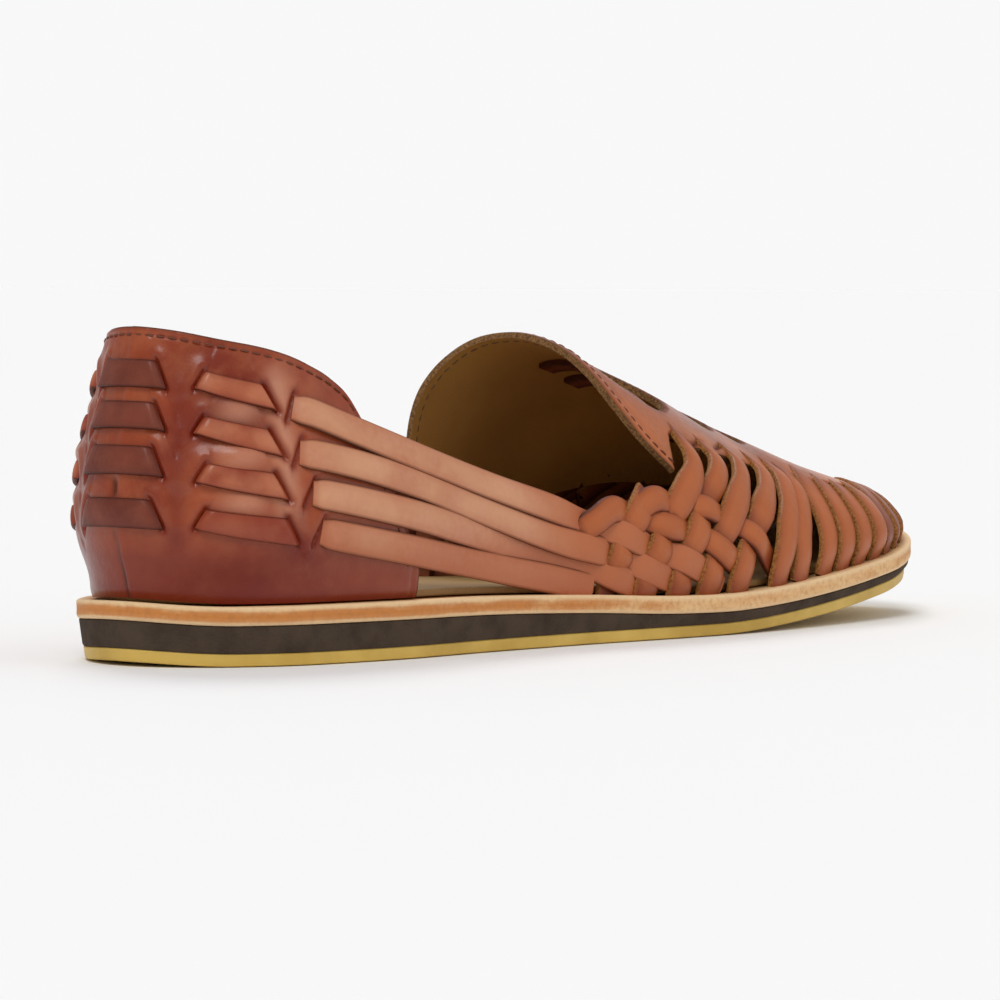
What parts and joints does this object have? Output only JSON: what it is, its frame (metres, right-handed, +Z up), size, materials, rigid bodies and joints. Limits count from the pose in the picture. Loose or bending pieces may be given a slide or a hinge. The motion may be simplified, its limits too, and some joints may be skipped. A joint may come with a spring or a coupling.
{
  "type": "huarache sandal",
  "caption": "Low woven leather sandal with a closed heel quarter, side straps, a plain vamp over a woven toe, and a stacked flat sole.",
  "frame": {"origin": "on the floor, under the middle of the bounding box", "axes": "+X from heel to toe, +Y to the inner side of the foot, +Z up"},
  "size_m": [0.2936, 0.0962, 0.0781],
  "materials": {
    "gum_rubber": "semi-gloss translucent gum rubber sheet",
    "dark_foam": "dull closed-cell foam rubber",
    "natural_leather": "undyed vegetable-tanned leather with a cut edge",
    "insole_leather": "smooth tan leather, worn dull",
    "brown_leather": "burnished reddish-brown leather, semi-gloss at the heel"
  },
  "bodies": {
    "root": {"outsole": "gum_rubber", "wedge_midsole": "dark_foam", "leather_midsole": "natural_leather", "insole": "insole_leather", "upper": "brown_leather"}
  },
  "joints": []
}
